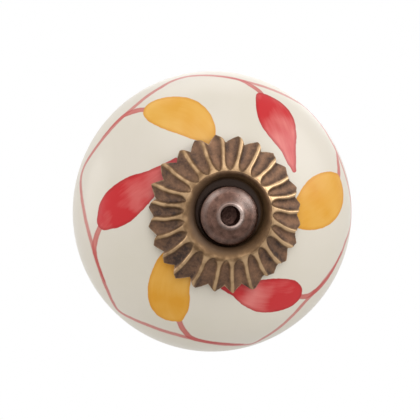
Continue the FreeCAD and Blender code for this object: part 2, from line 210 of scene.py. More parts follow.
def wear_in(piece, material, slot, *nodes):
    """Dress a piece, and let it stand for its CAD nodes."""
    piece.data.materials.clear()
    piece.data.materials.append(material)
    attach(piece, "root")
    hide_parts(*nodes)


# Painted ornament, on a flat map of the glaze: right and up in mm from the front pole, along
# the curve of the glaze. A leaf is one pressed brush stroke from its stem to its point, and each
# of its touches is (right, up, half the width there, how full of paint the brush is).
RED_LEAVES = [
    [(6.5, 17.9, 0.95, 0.9), (7.4, 16.3, 2.15, 0.95), (8.3, 14.4, 2.95, 0.8),
     (9.0, 12.2, 2.35, 0.55), (9.5, 10.0, 1.4, 0.5), (9.85, 8.0, 0.85, 0.45),
     (10.2, 6.4, 0.35, 0.65)],
    # This leaf and the next end full and dark under the rosette's rim: pooled paint and painted shadow
    [(-17.9, -1.0, 1.4, 0.95), (-15.9, 1.1, 2.8, 1.05), (-13.5, 3.1, 2.6, 0.85),
     (-11.1, 4.7, 1.75, 0.55), (-9.3, 6.0, 1.2, 0.7), (-7.2, 7.8, 0.5, 1.15)],
    [(11.3, -12.1, 0.9, 1.05), (9.7, -12.1, 2.4, 1.05), (6.5, -12.1, 2.75, 0.8),
     (3.9, -11.7, 2.0, 0.6), (1.9, -11.1, 1.1, 0.9), (-0.4, -10.5, 0.35, 1.15)],
]
YELLOW_LEAVES = [
    [(-11.3, 16.1, 0.5, 0.3), (-9.9, 15.8, 2.1, 0.35), (-7.6, 15.3, 2.9, 0.45),
     (-5.4, 14.5, 3.0, 0.55), (-3.8, 13.1, 2.35, 0.6), (-2.6, 11.5, 1.2, 0.7),
     (-1.8, 10.4, 0.6, 0.8)],
    [(-6.7, -15.6, 0.8, 0.9), (-8.0, -13.3, 2.85, 0.8), (-8.3, -11.1, 3.05, 0.75),
     (-8.0, -9.1, 2.9, 0.7), (-7.5, -7.4, 2.6, 0.8), (-6.9, -6.0, 1.9, 0.9)],
    [(18.1, 4.9, 1.3, 0.5), (16.6, 3.1, 3.2, 0.65), (15.0, 1.9, 3.85, 0.75),
     (13.0, 0.7, 3.1, 0.8), (11.3, -0.2, 2.0, 0.9)],
]
# A stem sets off along the festoon line, swells where it turns away and thins towards its leaf
STEMS = [
    [(-0.7, 22.7, 0.1, 0.4), (2.0, 22.2, 0.22, 0.5), (3.8, 21.6, 0.36, 0.6),
     (5.2, 20.5, 0.46, 0.6), (6.3, 19.3, 0.44, 0.6), (7.0, 17.9, 0.42, 0.8)],
    [(-19.6, 12.4, 0.1, 0.5), (-17.3, 14.6, 0.24, 0.6), (-15.6, 15.9, 0.4, 0.7),
     (-14.2, 16.3, 0.5, 0.6), (-12.7, 16.4, 0.46, 0.5), (-11.1, 16.2, 0.4, 0.5)],
    [(-18.4, -11.0, 0.15, 0.7), (-19.4, -8.2, 0.26, 0.7), (-19.9, -6.0, 0.4, 0.75),
     (-19.8, -4.6, 0.46, 0.65), (-19.2, -2.9, 0.44, 0.55), (-18.3, -1.2, 0.42, 0.7)],
    [(4.2, -21.6, 0.2, 1.0), (1.2, -20.95, 0.28, 0.9), (-2.4, -20.3, 0.34, 0.8),
     (-4.5, -19.5, 0.44, 0.8), (-5.8, -17.9, 0.44, 0.7), (-6.7, -15.9, 0.4, 0.7)],
    [(19.9, -6.5, 0.2, 1.1), (18.3, -9.15, 0.3, 1.05), (16.6, -11.1, 0.4, 1.0),
     (15.0, -12.2, 0.46, 0.9), (13.4, -12.8, 0.44, 0.8), (11.6, -12.6, 0.4, 0.9)],
    [(20.5, 11.3, 0.14, 0.5), (20.1, 9.6, 0.32, 0.6), (19.6, 8.0, 0.42, 0.6),
     (19.2, 6.4, 0.42, 0.6), (18.7, 4.9, 0.4, 0.6)],
]
# The festoon line: degrees clockwise from the top, and mm from the front pole along the glaze
FESTOON_LINE = [
    (-1.7, 22.85), (5, 22.35), (13, 21.85), (20, 21.95), (27, 22.3), (34, 23.0), (42, 24.2),
    (50, 23.8), (58, 22.95), (67, 22.5), (76, 22.6), (86, 23.3), (94, 23.4), (99, 22.5),
    (103, 21.6), (107.5, 21.2), (112.5, 20.65), (121, 19.85), (128.3, 19.4), (136, 19.25),
    (144, 19.85), (152, 20.85), (159, 21.9), (164.5, 22.9), (170, 22.1), (177.5, 21.2),
    (183, 20.75), (190, 20.3), (198.5, 20.25), (206, 20.7), (213, 21.35), (219.5, 22.5),
    (225, 23.6), (230, 22.95), (235.3, 22.1), (242.4, 21.4), (249.3, 21.05), (257, 20.95),
    (263.5, 21.3), (271, 22.0), (277.5, 23.0), (285, 24.4), (290, 24.35), (296.7, 23.4),
    (304, 22.7), (311, 22.35), (317, 22.2), (323, 22.2), (328.4, 22.5), (335.5, 22.95),
    (341.6, 23.6), (348.6, 23.7),
]


def smooth_path(touches, count):
    """A smooth run of rows through the touches, as a flexed batten would lie."""
    knots = np.array(touches, float)
    ends = np.vstack([2 * knots[0] - knots[1], knots, 2 * knots[-1] - knots[-2]])
    spans = len(knots) - 1
    place = np.linspace(0, spans, count)
    index = np.minimum(place.astype(int), spans - 1)
    t = (place - index)[:, None]
    a, b, c, d = (ends[index + shift] for shift in range(4))
    return 0.5 * (2 * b + (c - a) * t + (2 * a - 5 * b + 4 * c - d) * t ** 2
                  + (3 * b - a - 3 * c + d) * t ** 3)


def brush(flat, strokes, count=90):
    """For each point of the flat map, its nearest stroke: mm past the stroke's edge, mm across
    from its middle, mm along it, and how full the brush was."""
    found = np.full((len(flat), 4), 99.0)
    for touches in strokes:
        path = smooth_path(touches, count)
        middle, half = path[:, :2], path[:, 2]
        heading = np.gradient(middle, axis=0)
        lengths = np.linalg.norm(heading, axis=1)
        heading = heading / lengths[:, None]
        margin = half.max() + 2
        near = ((flat > middle.min(0) - margin) & (flat < middle.max(0) + margin)).all(1)
        to_point = flat[near][:, None, :] - middle[None, :, :]
        past = np.linalg.norm(to_point, axis=2) - half[None, :]
        best = past.argmin(1)
        rows = np.arange(len(best))
        offset, direction = to_point[rows, best], heading[best]
        across = direction[:, 0] * offset[:, 1] - direction[:, 1] * offset[:, 0]
        over = (direction * offset).sum(1)
        along = np.cumsum(lengths)[best] + over
        new = np.stack([past[rows, best], across, along, path[best, 3]], 1)
        old = found[near]
        found[near] = np.where((new[:, 0] < old[:, 0])[:, None], new, old)
    return found


def way_from_pole(points):
    """How far each point of the ceramic lies from the front pole along the glaze, and its
    angle clockwise from the top."""
    radius = np.hypot(points[:, 0], points[:, 2])
    turn = np.arctan2(points[:, 0], points[:, 2])
    forward = EQUATOR_Y - points[:, 1]
    join = math.radians(FRONT_JOIN)
    front = np.arctan2(radius, forward + FRONT_SETBACK)
    edge = np.arctan2(radius - EDGE_CENTRE, forward) % FULL_TURN
    way = np.where(front < join, FRONT_SWEEP * front,
                   FRONT_SWEEP * join + EDGE_ROUND * (edge - join))
    return way, turn


def ceramic_body():
    """Slip-cast ball with a bore, and the painted ornament noted on its points."""
    land_round, bore_round = 0.5, 0.3
    front_start = math.degrees(math.asin((FRONT_LAND + land_round) / FRONT_SWEEP))
    rear_end = 180 - math.degrees(math.asin((REAR_LAND + land_round) / REAR_SWEEP))
    # The ornament needs fine rows of points, to just behind the widest circle
    fine_end = 97
    front = arc(EQUATOR_Y + FRONT_SETBACK, 0, FRONT_SWEEP, front_start, FRONT_JOIN, 40)
    edge_front = arc(EQUATOR_Y, EDGE_CENTRE, EDGE_ROUND, FRONT_JOIN, fine_end, 52)
    edge_rear = arc(EQUATOR_Y, EDGE_CENTRE, EDGE_ROUND, fine_end, REAR_JOIN, 10)
    rear = arc(EQUATOR_Y - REAR_SETBACK, 0, REAR_SWEEP, REAR_JOIN, rear_end, 10)
    outline = [(FRONT_LAND_Y, CERAMIC_BORE)]
    outline += straight(outline[-1], (FRONT_LAND_Y, FRONT_LAND - land_round), 2)
    outline += bow(outline[-1], front[0], 1.9, 1, 5)[:-1]
    outline += front + edge_front[1:] + edge_rear[1:] + rear[1:]
    outline += bow(outline[-1], (REAR_LAND_Y, REAR_LAND - land_round), 1.7, 1, 5)
    outline += straight(outline[-1], (REAR_LAND_Y, CERAMIC_BORE + bore_round), 2)
    outline += bow(outline[-1], (REAR_LAND_Y - bore_round, CERAMIC_BORE), 0.35, 1, 3)
    piece = lathe("glazed_ball", outline, 600)

    points = points_of(piece)
    way, turn = way_from_pole(points)
    flat = np.stack([way * np.sin(turn), way * np.cos(turn)], 1)
    for name, strokes in (("red_leaf", RED_LEAVES), ("yellow_leaf", YELLOW_LEAVES), ("stem", STEMS)):
        found = brush(flat, strokes)
        note(piece, name, found[:, :3])
        note(piece, name + "_paint", found[:, 3])

    corners = np.array(FESTOON_LINE, float)
    before, after = corners[-3:] - [360, 0], corners[:3] + [360, 0]
    fine = smooth_path(np.vstack([before, corners, after]), 1500)
    degrees = np.degrees(turn) % 360
    degrees = np.where(degrees > 355, degrees - 360, degrees)
    target = np.interp(degrees, fine[:, 0], fine[:, 1])
    slope = np.gradient(fine[:, 1], np.radians(fine[:, 0])) / fine[:, 1]
    lean = np.interp(degrees, fine[:, 0], slope)
    offset = (way - target) / np.sqrt(1 + lean ** 2)
    # The line's streaks are read on a ring of its own size, and so have no seam
    ring = 20
    note(piece, "festoon", np.stack([offset, np.sin(turn) * ring, np.cos(turn) * ring], 1))
    # The brush was filled again for each festoon, and the line is darker towards the bottom and
    # paler towards the top
    note(piece, "festoon_paint", 0.7 + 0.2 * np.sin(6 * turn + 2.2) - 0.15 * np.cos(turn - 0.4))

    # Cast, then dried and fired, so it is a few hundredths of a millimetre out of round
    out_of_round = 0.0012
    radius = np.hypot(points[:, 0], points[:, 2])
    outside = ease(CERAMIC_BORE + 1, FRONT_LAND + 3, radius)
    sway = np.sin(2 * turn + 0.7) + 0.6 * np.sin(3 * turn + 2.1 + points[:, 1] * 0.15)
    shrink = 1 - outside * out_of_round * (1.6 + sway)
    points[:, 0] *= shrink
    points[:, 2] *= shrink
    move_points(piece, points)
    return piece


# The flutes were struck and filed one by one. Each row is one rib, clockwise from the top: its
# angle off an even pitch, how far before it the rim's point stands and how far past it the rim's
# notch lies, all in degrees, how much longer than usual the point is, in mm, and how far the
# rib's inner end leans, in degrees.
FLUTES = [
    (1.5, 2.8, 2.6, 0.1, -2.0), (1.1, 2.4, 2.4, 0.1, -0.3), (1.8, 4.0, 1.1, 0.0, 0.0),
    (3.8, 7.2, 0.4, -0.1, 0.0), (3.1, 4.4, 0.8, -0.05, -0.7), (1.9, 5.4, 1.0, -0.1, -0.7),
    (2.2, 5.9, 0.3, -0.05, -0.4), (-0.3, 4.3, 2.1, 0.1, 0.0), (0.4, 5.1, 0.7, 0.05, 0.6),
    (-0.6, 6.0, 1.5, -0.05, 0.4), (-1.4, 2.8, 6.2, 0.4, 0.0), (-2.1, 0.4, 6.0, -0.1, 1.2),
    (-2.9, 1.4, 5.4, -0.3, 0.4), (-1.3, 3.1, 4.7, 0.05, 0.3), (0.5, 4.2, 3.6, 0.35, -0.4),
    (0.5, 5.0, 2.4, -0.1, -0.9), (0.4, 4.8, 1.7, -0.1, -1.3), (0.9, 6.0, 1.2, -0.1, -3.6),
    (-1.5, 4.2, 2.6, -0.2, -2.4), (-3.7, 0.6, 6.4, 0.1, -1.4), (-2.2, 1.8, 7.6, 0.35, -3.3),
    (-0.1, 2.2, 4.6, -0.1, -3.3), (0.7, 4.2, 4.2, 0.2, -2.0), (1.5, 4.2, 2.2, 0.25, -3.0),
]
FIRST_RIB = 11.5
PITCH = 15.0
RIM_NOTCH = 1.15
CHANNEL_DEPTH = 0.5
RIB_HALF = 0.1
RIB_FLANK = 0.5
CHANNEL_FULL = 1.75
CUP_SHIFT = (0.1, 0.45)
RIM_SHIFT = (-0.28, 0.09)
# The ribs point at the cup's middle, which lies above the rim's: their inner ends turn by this
CUP_LEAN = 4.6


def within(degrees, starts):
    """For each angle, the number of the span that it lies in, and the angle counted so that it
    isn't less than the span's start."""
    degrees = np.where(degrees < starts[0], degrees + 360, degrees)
    return np.searchsorted(starts, degrees, side="right") - 1, degrees


def fluted_rosette():
    """Struck brass: a turned dish whose skirt is pressed into channels and cut to points."""
    back_start = CUP + SHEET
    skirt_end = (SKIRT_START_Y + SKIRT_LENGTH * SKIRT_SIN, RIM)
    lip = 0.16
    lip_in = (skirt_end[0] - lip * SKIRT_SIN, skirt_end[1] - lip * SKIRT_COS)
    lip_out = (skirt_end[0] + lip * SKIRT_COS, skirt_end[1] - lip * SKIRT_SIN)
    back_end = (skirt_end[0] + SKIRT_DEPTH * SKIRT_COS, skirt_end[1] - SKIRT_DEPTH * SKIRT_SIN)
    back_top_run = (back_end[1] - back_start) / SKIRT_COS
    back_top = (back_end[0] - back_top_run * SKIRT_SIN, back_start)
    crest_end = 90 - math.degrees(math.acos(SKIRT_SIN))
    outline = [(CUP_FLOOR_Y, HOLE)]
    outline += straight(outline[-1], (CUP_FLOOR_Y, CUP_FLOOR - 0.35), 3)
    outline += bow(outline[-1], (CUP_FLOOR_Y - 0.4, CUP_FLOOR + 0.1), 0.45, -1, 6)
    outline += straight(outline[-1], (CUP_FLOOR_Y - 0.7, CUP_FLOOR + 0.12), 2)
    crest = arc(CREST_Y, CREST, CREST_ROUND, CREST_START, crest_end, 10)
    outline += bow(outline[-1], crest[0], 2.2, 1, 12)
    outline += crest[1:]
    outline += straight(outline[-1], lip_in, 46)
    outline += bow(lip_in, lip_out, lip, 1, 4)
    outline += straight(outline[-1], back_end, 3)
    outline += straight(outline[-1], back_top, 16)
    outline += straight(outline[-1], (FRONT_LAND_Y, CUP_FLOOR + SHEET), 2)
    outline += straight(outline[-1], (FRONT_LAND_Y, HOLE), 3)
    piece = lathe("struck_rosette", outline, 720)

    points = points_of(piece)
    radius = np.hypot(points[:, 0], points[:, 2])
    turn = np.arctan2(points[:, 0], points[:, 2])
    # Along the skirt's slope from the crest, and out of it, with 0 on the ribs' tops
    from_y, from_radius = points[:, 1] - SKIRT_START_Y, radius - SKIRT_START
    along = from_y * SKIRT_SIN + from_radius * SKIRT_COS
    out = -from_y * SKIRT_COS + from_radius * SKIRT_SIN
    skirt = (along > -1e-4) & (radius > CUP + SHEET - 1e-3) & (out > -SKIRT_DEPTH - 1e-3)
    skirt &= points[:, 1] < FRONT_LAND_Y + 6

    rows = np.array(FLUTES)
    ribs = FIRST_RIB + PITCH * np.arange(len(rows)) + rows[:, 0]
    points_at, notches = ribs - rows[:, 1], ribs + rows[:, 2]

    # The rim rises from each notch to its point, on rounded sides
    span, degrees = within(np.degrees(turn) % 360, notches)
    start, end = notches[span], np.append(notches[1:], notches[0] + 360)[span]
    peak = np.append(points_at[1:], points_at[0] + 360)[span]
    longer = np.append(rows[1:, 3], rows[0, 3])[span]
    toward = np.where(degrees < peak, (degrees - start) / (peak - start),
                      (end - degrees) / (end - peak))
    rise = 0.65 * (1 - (1 - toward) ** 1.9) + 0.35 * toward ** 2
    cut = RIM_NOTCH * (1 - rise) - longer * rise
    stretch = 1 - cut / SKIRT_LENGTH
    new_along = np.where(skirt, along * stretch, along)

    # Sideways from the nearest rib in mm
    here = SKIRT_START + new_along * SKIRT_COS
    lean = np.interp(np.degrees(turn), ribs, rows[:, 4], period=360)
    lean = lean * (1 - ease(0, 5.0, new_along))
    lean = lean - CUP_LEAN * np.sin(turn) * (1 - ease(0, 3.5, new_along))
    flute, degrees = within((np.degrees(turn) - lean) % 360, ribs)
    left, right = ribs[flute], np.append(ribs[1:], ribs[0] + 360)[flute]
    side = np.radians(np.minimum(degrees - left, right - degrees)) * here
    half_pitch = np.radians(right - left) / 2 * here
    grown = np.clip(new_along / CHANNEL_FULL, 0, 1)
    arch = np.sqrt(1 - (1 - grown) ** 2) ** 0.85
    into = side - half_pitch + (half_pitch - RIB_HALF) * arch
    scoop = np.clip(into / (half_pitch - RIB_HALF), 0, 1)
    press = 0.45 * ease(0, RIB_FLANK, into) + 0.55 * (1 - (1 - scoop) ** 2)
    press = press * ease(-0.6, 0.9, new_along)
    front_share = np.clip(1 + out / SKIRT_DEPTH, 0, 1)
    dimple = np.sin(points[:, 0] * 9.1 + 2.0 * np.sin(points[:, 2] * 7.3))
    drop = (CHANNEL_DEPTH + 0.015 * dimple) * press
    back_rise = np.where(out < -0.5, 0.25 * (1 - press) * (1 - front_share), 0)
    new_out = out - np.where(skirt, drop * front_share - back_rise, 0)

    new_y = SKIRT_START_Y + new_along * SKIRT_SIN - new_out * SKIRT_COS
    new_radius = SKIRT_START + new_along * SKIRT_COS + new_out * SKIRT_SIN
    points[:, 1] = np.where(skirt, new_y, points[:, 1])
    final = np.where(skirt, new_radius, radius)
    points[:, 0] = final * np.sin(turn)
    points[:, 2] = final * np.cos(turn)

    # Cup and flutes were struck by two blows, and neither is quite on the rim's centre
    rim_share = ease(5.0, 6.2, final)
    cup_share = ease(2.9, 4.6, final) * (1 - rim_share)
    points[:, 0] += CUP_SHIFT[0] * cup_share + RIM_SHIFT[0] * rim_share
    points[:, 2] += CUP_SHIFT[1] * cup_share + RIM_SHIFT[1] * rim_share
    move_points(piece, points)

    # Handling wears the ribs and the rim bright. A painted highlight makes the ribs and the skirt's
    # start brightest at the upper right, and painted shade makes the ribs dullest at the upper left.
    # The cloth reaches deeper where a channel starts, and the patina there is fainter.
    settled = ease(0.2, 1.9, new_along)
    reached = drop * (0.4 + 0.6 * settled)
    ridge = 0.55 * (1 - ease(0.0, 0.18, reached)) + 0.45 * (1 - ease(0.04, 0.42, reached))
    painted_light_turn = math.radians(60)
    dim_upper_left = (np.degrees(turn) + 27) / 30
    painted_side_light = 0.86 + 0.16 * np.cos(turn - painted_light_turn) - 0.4 * np.exp(-dim_upper_left ** 2)
    rib_wear_and_sheen = ridge * ease(-0.1, 0.5, new_along) * painted_side_light
    rim_wear = ease(0.4, 0.05, SKIRT_LENGTH * stretch - new_along) * (front_share > 0.6)
    crest_wear_and_sheen = 0.6 + 0.15 * np.cos(turn - painted_light_turn)
    crest_wear_and_sheen = crest_wear_and_sheen * (1 - ease(0.2, 1.3, new_along)) * (1 - ease(0.02, 0.3, drop))
    brightened = np.where(skirt, np.maximum(np.maximum(rib_wear_and_sheen, rim_wear * 0.5), crest_wear_and_sheen), 0)
    # The crest is painted lighter low down, as a painted highlight, and darker at the top, as painted
    # shade
    crest = ~skirt & (points[:, 1] < CREST_Y + 0.2)
    low_side = 0.5 - 0.5 * np.cos(turn - math.radians(25))
    crest_rub_and_sheen = (0.2 + 0.34 * low_side) * ease(CREST - 0.6, CREST + 0.2, radius)
    note(piece, "wear_and_sheen", np.where(crest, crest_rub_and_sheen, brightened))
    crest_dark = np.where(crest, 0.55 * (1 - low_side), 0)
    channel_dark = ease(0.05, 0.75, press) * ease(0.3, 1.0, front_share) * (0.45 + 0.55 * settled)
    note(piece, "channel", np.where(skirt, channel_dark, crest_dark))
    # The middle of each channel is painted a little lighter towards the upper right, as painted light
    light_side = 0.5 + 0.5 * np.cos(turn - painted_light_turn)
    note(piece, "lit_channel_floor", np.where(skirt, ease(0.35, 1.0, scoop) * light_side, 0))
    inside = ~skirt & (radius < CREST)
    # The cup's floor is painted dark all over, and its wall darkest at the lower left: painted
    # shade in the cup, and the head's painted shadow on its wall
    lower_left_shade = 0.52 + 0.33 * np.cos(turn - math.radians(245))
    on_wall = ease(CUP_FLOOR - 0.3, CUP_FLOOR + 0.15, radius)
    painted_shade = (1 - on_wall) + on_wall * lower_left_shade * (1 - ease(CUP - 0.2, CREST + 0.15, radius))
    note(piece, "painted_shade", np.where(inside, painted_shade, 0))
    return piece


def centre_bolt():
    """Turned bolt: domed head with a lipped hole, and a shank with a real helical thread."""
    hole_wall, corner = HEAD_HOLE - 0.05, 0.15
    lip_edge_y = HEAD_FRONT_Y + 0.2
    dome_inner = (HEAD_FRONT_Y + 0.5, 2.85)
    dome_outer = (HEAD_FRONT_Y + 1.06, HEAD - corner)
    into_thread_y = THREAD_START_Y + 0.3
    outline = [(HEAD_FRONT_Y + 3.4, 0.0), (HEAD_FRONT_Y + 2.9, hole_wall)]
    outline += straight(outline[-1], (lip_edge_y + 0.1, hole_wall), 3)
    outline += bow(outline[-1], (lip_edge_y, 1.95), 0.33, 1, 10)
    outline += bow(outline[-1], dome_inner, 4.6, -1, 12)
    outline += bow(outline[-1], dome_outer, 4.3, 1, 24)
    outline += bow(outline[-1], (HEAD_FRONT_Y + 1.25, HEAD), 0.2, 1, 5)
    outline += straight(outline[-1], (CUP_FLOOR_Y - corner, HEAD), 4)
    outline += bow(outline[-1], (CUP_FLOOR_Y, HEAD - corner), corner, 1, 3)
    outline += straight(outline[-1], (CUP_FLOOR_Y, BOLT), 2)
    outline += straight(outline[-1], (into_thread_y, BOLT), 2)
    outline += [(into_thread_y, 0.0)]
    piece = lathe("turned_bolt", outline, 180)
    head = points_of(piece)
    reach = np.hypot(head[:, 0], head[:, 2])
    lip = ease(HEAD_HOLE - 0.05, HEAD_HOLE + 0.05, reach) * (1 - ease(1.78, 2.12, reach))
    # The lip is worn a little bright all round. Painted highlights brighten the head most to the
    # upper right, the lip to the lower right and the dome's edge to the upper left.
    turn = np.degrees(np.arctan2(head[:, 0], head[:, 2]))
    up_right, up_left = (turn - 47) / 26, (turn + 42) / 30
    down_right = (turn - 120) / 50
    dome = ease(1.85, 2.2, reach) * (1 - ease(3.3, 3.9, reach))
    brow = ease(3.1, 3.6, reach) * (1 - ease(3.75, 4.1, reach))
    streak = np.exp(-up_right ** 2)
    shine = lip * (0.18 + 0.7 * streak + 0.3 * np.exp(-down_right ** 2)) + 0.3 * dome * streak
    shine = shine + brow * (0.06 * streak + 0.28 * np.exp(-up_left ** 2) + 0.06)
    note(piece, "wear_and_sheen", np.clip(shine, 0, 1))
    # Painted shade darkens the inside of the hole, and a little of the top of the dome
    in_hole = (reach < HEAD_HOLE + 0.01) & (head[:, 1] < CUP_FLOOR_Y + 2)
    deep = ease(HEAD_FRONT_Y + 0.1, HEAD_FRONT_Y + 0.5, head[:, 1])
    top = 0.45 * np.exp(-((turn + 4) / 26) ** 2) * ease(1.9, 2.3, reach)
    note(piece, "painted_shade", np.where(in_hole, deep, top))
    note(piece, "shank", (head[:, 1] > CUP_FLOOR_Y + 0.01).astype(float) * (reach > HEAD_HOLE))

    # One pitch of the thread, wound up the shank, cut square at both ends and bevelled at its tip
    turns = int((BOLT_END_Y - THREAD_START_Y) / THREAD_PITCH) + 3
    start_y = THREAD_START_Y - THREAD_PITCH
    tooth = [
        (start_y, THREAD_ROOT), (start_y + 0.06, THREAD_ROOT), (start_y + 0.34, BOLT - 0.02),
        (start_y + 0.38, BOLT), (start_y + 0.46, BOLT), (start_y + 0.5, BOLT - 0.02),
        (start_y + 0.78, THREAD_ROOT), (start_y + THREAD_PITCH, THREAD_ROOT),
    ]
    thread = begin("thread", *tooth[0])
    draw(tooth)
    bpy.ops.object.mode_set(mode="OBJECT")
    wind(thread, 48, THREAD_PITCH, turns)
    close_up()
    bpy.ops.object.mode_set(mode="EDIT")
    for place, outward in ((THREAD_START_Y, -1), (BOLT_END_Y - 0.001, 1)):
        bpy.ops.mesh.select_all(action="SELECT")
        bpy.ops.mesh.bisect(plane_co=(0, place * MM, 0), plane_no=(0, outward, 0),
                            use_fill=True, clear_outer=True, threshold=MM * 0.0001)
    bpy.ops.mesh.select_all(action="SELECT")
    bpy.ops.mesh.normals_make_consistent(inside=False)
    bpy.ops.object.mode_set(mode="OBJECT")
    tip = BOLT - 0.5
    draw_in(thread, lambda points: tip + BOLT_END_Y - points[:, 1])
    note(thread, "shank", np.ones(len(thread.data.vertices)))

    bpy.ops.object.select_all(action="DESELECT")
    thread.select_set(True)
    piece.select_set(True)
    bpy.context.view_layer.objects.active = piece
    bpy.ops.object.join()
    bpy.ops.object.shade_smooth_by_angle(angle=math.radians(32))
    return piece


def rear_ferrule():
    """Spun brass collar: bead under the ceramic, hollow waist and half-round foot."""
    bead, bead_back_y = 9.8, REAR_LAND_Y + 1.2
    neck, waist_end = 9.1, 9.9
    foot, foot_front_y = 10.6, -1.6
    inside, web_y, web_round = 7.8, -7.0, 0.4
    fillet = 0.15
    outline = [(REAR_LAND_Y, HOLE)]
    outline += straight(outline[-1], (REAR_LAND_Y, bead), 3)
    outline += bow(outline[-1], (bead_back_y, bead), 0.63, 1, 12)
    outline += straight(outline[-1], (bead_back_y, neck + fillet), 1)
    outline += bow(outline[-1], (bead_back_y + fillet, neck), fillet, -1, 4)
    outline += bow(outline[-1], (foot_front_y - fillet, waist_end), 6.0, -1, 26)
    outline += bow(outline[-1], (foot_front_y, waist_end + fillet), fillet, -1, 4)
    outline += straight(outline[-1], (foot_front_y, foot), 1)
    outline += bow(outline[-1], (0.0, foot), 0.84, 1, 14)
    outline += straight(outline[-1], (0.0, inside + fillet), 2)
    outline += bow(outline[-1], (-fillet, inside), fillet, 1, 3)
    outline += straight(outline[-1], (web_y + web_round, inside), 4)
    outline += bow(outline[-1], (web_y, inside - web_round), web_round, -1, 4)
    outline += straight(outline[-1], (web_y, HOLE), 3)
    piece = lathe("spun_ferrule", outline, 240)
    points = points_of(piece)
    radius = np.hypot(points[:, 0], points[:, 2])
    brightened = ease(9.9, 10.25, radius) * ease(REAR_LAND_Y - 0.1, REAR_LAND_Y + 0.3, points[:, 1])
    note(piece, "wear_and_sheen", brightened * 0.7)
    note(piece, "channel", np.where(radius < 7.9, 0.5, 0.12 * (1 - ease(9.0, 9.7, radius))))
    bpy.ops.object.shade_smooth_by_angle(angle=math.radians(40))
    return piece


def hex_nut(name, node):
    """Hexagon nut with its corners bevelled on both faces and a countersunk hole."""
    low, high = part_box(node)
    front_y, back_y = low.y / MM, high.y / MM
    across, bore, sink, inset = 4.0, BOLT + 0.03, 0.35, 0.15
    corner = across / math.cos(math.radians(30))
    past_corner = corner + 0.001
    drop = (corner - across + inset) * math.tan(math.radians(30))
    outline = [(front_y, across - inset), (front_y + drop, past_corner),
               (back_y - drop, past_corner), (back_y, across - inset),
               (back_y, bore + sink), (back_y - sink, bore),
               (front_y + sink, bore), (front_y, bore + sink)]
    turned = lathe(name, outline, 144)
    bpy.ops.object.select_all(action="DESELECT")
    bpy.ops.mesh.primitive_cylinder_add(
        vertices=6, radius=corner * MM, depth=(back_y - front_y + 1) * MM,
        location=(0, (front_y + back_y) / 2 * MM, 0), rotation=(math.radians(90), math.radians(30), 0))
    bpy.ops.object.transform_apply(location=True, rotation=True, scale=True)
    prism = bpy.context.object
    trim = turned.modifiers.new("six_flats", "BOOLEAN")
    trim.operation = "INTERSECT"
    trim.solver = "EXACT"
    trim.object = prism
    bpy.ops.object.select_all(action="DESELECT")
    turned.select_set(True)
    bpy.context.view_layer.objects.active = turned
    bpy.ops.object.modifier_apply(modifier="six_flats")
    bpy.data.objects.remove(prism)
    soften = turned.modifiers.new("tumbled_edges", "BEVEL")
    soften.width = 0.06 * MM
    soften.segments = 2
    soften.limit_method = "ANGLE"
    soften.angle_limit = math.radians(24)
    bpy.ops.object.modifier_apply(modifier="tumbled_edges")
    draw_in(turned, lambda points: corner)
    bpy.ops.object.shade_smooth_by_angle(angle=math.radians(32))
    return turned


def panel_washer():
    """Punched washer: one face rolls softly into the edges, the other keeps them crisp."""
    low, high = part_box("panel_washer")
    front_y, back_y = low.y / MM, high.y / MM
    reach, soft, crisp = high.x / MM, 0.25, 0.05
    outline = [(front_y, HOLE + crisp)]
    outline += straight(outline[-1], (front_y, reach - crisp), 3)
    outline += [(front_y + crisp, reach)]
    outline += straight(outline[-1], (back_y - soft, reach), 2)
    outline += bow(outline[-1], (back_y, reach - soft), soft, 1, 6)
    outline += straight(outline[-1], (back_y, HOLE + soft), 3)
    outline += bow(outline[-1], (back_y - soft, HOLE), soft, 1, 6)
    outline += [(front_y + crisp, HOLE)]
    piece = lathe("punched_washer", outline, 180)
    bpy.ops.object.shade_smooth_by_angle(angle=math.radians(40))
    return piece


# Materials
def colour(hex_value):
    """Linear colour of an sRGB hex value."""
    parts = [int(hex_value[place:place + 2], 16) / 255 for place in (1, 3, 5)]
    return tuple(p / 12.92 if p <= 0.04045 else ((p + 0.055) / 1.055) ** 2.4 for p in parts) + (1.0,)


def add(tree, kind, inputs=None, **settings):
    """Add a node. Inputs are values or sockets to link, by name or number."""
    made = tree.nodes.new(kind)
    for name, value in settings.items():
        setattr(made, name, value)
    for name, value in (inputs or {}).items():
        if isinstance(value, bpy.types.NodeSocket):
            tree.links.new(value, made.inputs[name])
        else:
            made.inputs[name].default_value = value
    return made


def new_material(name):
    """An empty material with a Principled surface."""
    made = bpy.data.materials.new(name)
    made.use_nodes = True
    tree = made.node_tree
    return made, tree, tree.nodes["Principled BSDF"]


def per_mm(size):
    """Noise scale whose features are about this many millimetres."""
    return 1 / (size * MM)


def shown(tree):
    """1 for a ray that the camera sends out, also by way of metal or glass, and 0 for any other."""
    path = add(tree, "ShaderNodeLightPath")
    either = add(tree, "ShaderNodeMath", {0: path.outputs["Is Camera Ray"],
                                         1: path.outputs["Is Glossy Ray"]}, operation="MAXIMUM")
    return add(tree, "ShaderNodeMath", {0: either.outputs[0], 1: path.outputs["Is Transmission Ray"]},
               operation="MAXIMUM").outputs[0]


